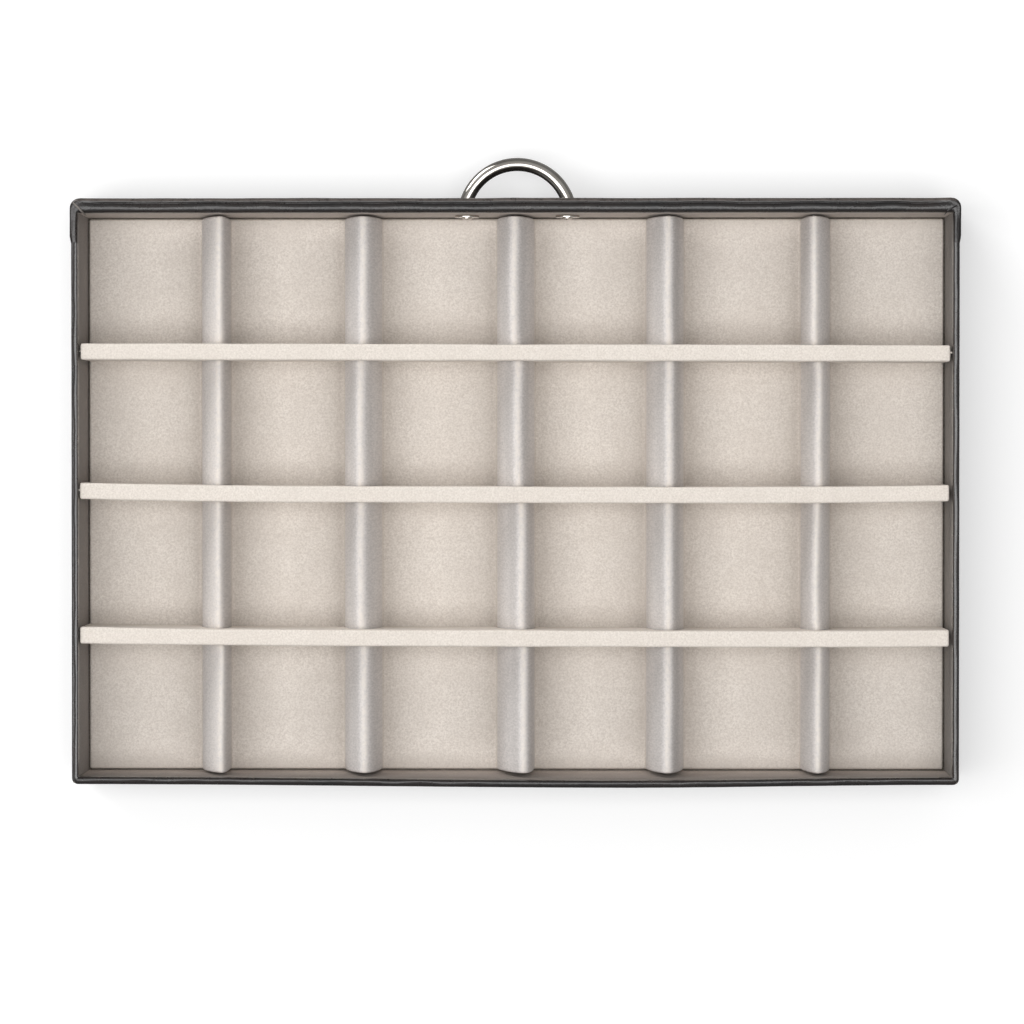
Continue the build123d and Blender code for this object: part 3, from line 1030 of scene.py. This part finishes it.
def screws():
    """Two round-head screws with a slot, through the front board into the pull's legs."""
    lowest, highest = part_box("handle_screws")
    head_r = (highest.z - lowest.z) / 2
    seat_y = high("handle_washers").y
    head_h = 0.6 * (highest.y - seat_y)
    shank_r, shank_l = 0.95 * mm, seat_y - lowest.y
    rim_h = 0.15 * mm  # the straight edge under the head's dome
    made = []
    for x in (lowest.x + head_r + pull_x, highest.x - head_r + pull_x):
        deselect_all()
        bpy.ops.mesh.primitive_uv_sphere_add(segments=40, ring_count=20, radius=1, rotation=(pi / 2, 0, 0))
        head = bpy.context.object
        head.scale = (0.85 * head_r, 0.85 * head_r, head_h)
        settle(head)
        edit(head)
        bpy.ops.mesh.bisect(plane_co=(0, rim_h, 0), plane_no=(0, -1, 0), clear_outer=True)
        bpy.ops.mesh.extrude_region_move(TRANSFORM_OT_translate={"value": (0, -rim_h, 0)})
        bpy.ops.mesh.fill_holes(sides=0)
        bpy.ops.object.mode_set(mode="OBJECT")
        head.location = (x, seat_y, pull_z)
        settle(head)
        tidy_mesh(head)
        deselect_all()
        bpy.ops.mesh.primitive_cube_add(size=1, location=(x, seat_y + head_h, pull_z))
        slot = bpy.context.object
        slot.scale = (0.45 * mm, 0.7 * mm, 3 * head_r)
        slot.rotation_euler = (0, 0 if made else radians(8), 0)
        settle(slot)
        use_modifier(head, "BOOLEAN", operation="DIFFERENCE", object=slot, solver="EXACT")
        bpy.data.objects.remove(slot)
        deselect_all()
        bpy.ops.mesh.primitive_cylinder_add(vertices=32, radius=shank_r, depth=shank_l,
                                            location=(x, lowest.y + shank_l / 2, pull_z),
                                            rotation=(pi / 2, 0, 0))
        shank = bpy.context.object
        settle(shank)
        round_edges(shank, 0.2 * mm, 2, 50)
        made += [head, shank]
    finish_piece(joined("pull_screws", made), nickel_finish,
                 replaces=["handle_screws"], angle=30)


# ---- the boards: the rear one leans back, and the rest stay as the frame has them ----
def back_board():
    lowest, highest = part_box("back_board")
    piece = block("board_back", lowest, highest)
    round_edges(piece, 0.45 * mm)
    edit(piece)
    for place in spread(lowest.x, highest.x, 24)[1:]:
        bpy.ops.mesh.select_all(action="SELECT")
        bpy.ops.mesh.bisect(plane_co=(place, 0, 0), plane_no=(1, 0, 0))
    bpy.ops.object.mode_set(mode="OBJECT")
    for vertex in piece.data.vertices:
        vertex.co.y += rear_lean(vertex.co.x, vertex.co.z)
    finish_piece(piece, board_finish, replaces=["back_board"], angle=30)


def dress_boards():
    for node in ("base_board", "front_board", "left_side_board", "right_side_board", "insert_board"):
        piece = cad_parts[node]
        piece.data.materials.clear()
        piece.data.materials.append(board_finish)


# ---- floor, light and camera ----
table_lift = 0.34  # the glow that the camera sees on the table
table_white = 0.74  # the table as the camera sees it
table_grey = 0.25  # and as it lights the drawer
low_light = 0.12
high_light = 0.56
key_power = 15.5
key_size = (1.9, 0.8)
key_place = Vector((0.24, 0.09, 1.45))
side_power = 12.0
side_size = (0.9, 0.9)
side_place = Vector((1.05, -1.25, 0.5))


def ground():
    """A wide pale table that is white to the camera and throws little light up at the drawer."""
    deselect_all()
    bpy.ops.mesh.primitive_plane_add(size=6, location=(0, 0, -0.02 * mm))
    sheet = bpy.context.object
    sheet.name = "white_table"
    table = Finish("white_table", Roughness=1.0, Specular_IOR_Level=0.0, Emission_Color=(1, 1, 1, 1))
    seen = table.node("ShaderNodeLightPath").outputs["Is Camera Ray"]
    glow = table.maths("MULTIPLY", seen, table_lift)
    table.tree.links.new(glow, table.shader.inputs["Emission Strength"])
    sheet.data.materials.append(table.done(table.sloped(seen, 0, 1, table_grey, table_white)))


def soft_box(name, place, size, power):
    """A soft box turned to face the drawer, its first side level."""
    lamp = bpy.data.lights.new(name, "AREA")
    lamp.shape = "RECTANGLE"
    lamp.size, lamp.size_y = size
    lamp.energy = power
    holder = bpy.data.objects.new(name, lamp)
    holder.location = place
    holder.rotation_euler = facing(place, Vector((0, 0, rim_z)))
    bpy.context.scene.collection.objects.link(holder)


def facing(place, target):
    """The rotation of a lamp or camera that looks at a target, with -Y at the top of its picture."""
    back = (place - target).normalized()
    right = Vector((0, -1, 0)).cross(back).normalized()
    return Matrix((right, back.cross(right), back)).transposed().to_euler()


def studio():
    """Pale light from all round, stronger from above, a wide soft box overhead and one to the side."""
    world = bpy.data.worlds.new("studio")
    bpy.context.scene.world = world
    world.use_nodes = True
    tree = world.node_tree
    back = tree.nodes["Background"]
    back.inputs["Color"].default_value = (1, 1, 1, 1)
    way = add_node(tree, "ShaderNodeTexCoord").outputs["Generated"]
    height = add_node(tree, "ShaderNodeSeparateXYZ", {0: way}).outputs["Z"]
    to_light = {"Value": height, "To Min": low_light, "To Max": high_light}
    dome = add_node(tree, "ShaderNodeMapRange", to_light).outputs[0]
    rays = add_node(tree, "ShaderNodeLightPath").outputs
    seen_rays = {0: rays["Is Camera Ray"], 1: rays["Is Transmission Ray"]}
    seen = add_node(tree, "ShaderNodeMath", seen_rays, operation="MAXIMUM").outputs[0]
    to_white = {"Value": seen, "To Min": dome, "To Max": 1.0}
    strength = add_node(tree, "ShaderNodeMapRange", to_white).outputs[0]
    tree.links.new(strength, back.inputs["Strength"])
    soft_box("high_soft_box", key_place, key_size, key_power)
    soft_box("side_soft_box", side_place, side_size, side_power)


camera_place = Vector((-15.9 * mm, -13.2 * mm, 1317 * mm))
picture_centre = Vector((0.88 * mm, 6.39 * mm, rim_z))
camera_lens = 143.4


def camera():
    data = bpy.data.cameras.new("camera")
    data.sensor_width = 36
    data.lens = camera_lens
    data.clip_start, data.clip_end = 0.05, 20
    holder = bpy.data.objects.new("camera", data)
    bpy.context.scene.collection.objects.link(holder)
    holder.location = camera_place
    holder.rotation_euler = facing(camera_place, picture_centre)
    bpy.context.scene.camera = holder


insert_sheet()
ridge_cores()
for divider in divider_names:
    divider_board(divider)
    divider_cover(divider)
leathers()
corner_folds()
front_pad()
linings()
underside()
bow_pull()
washers()
screws()
back_board()
dress_boards()
ground()
studio()
camera()
bpy.context.scene.view_settings.view_transform = "Standard"
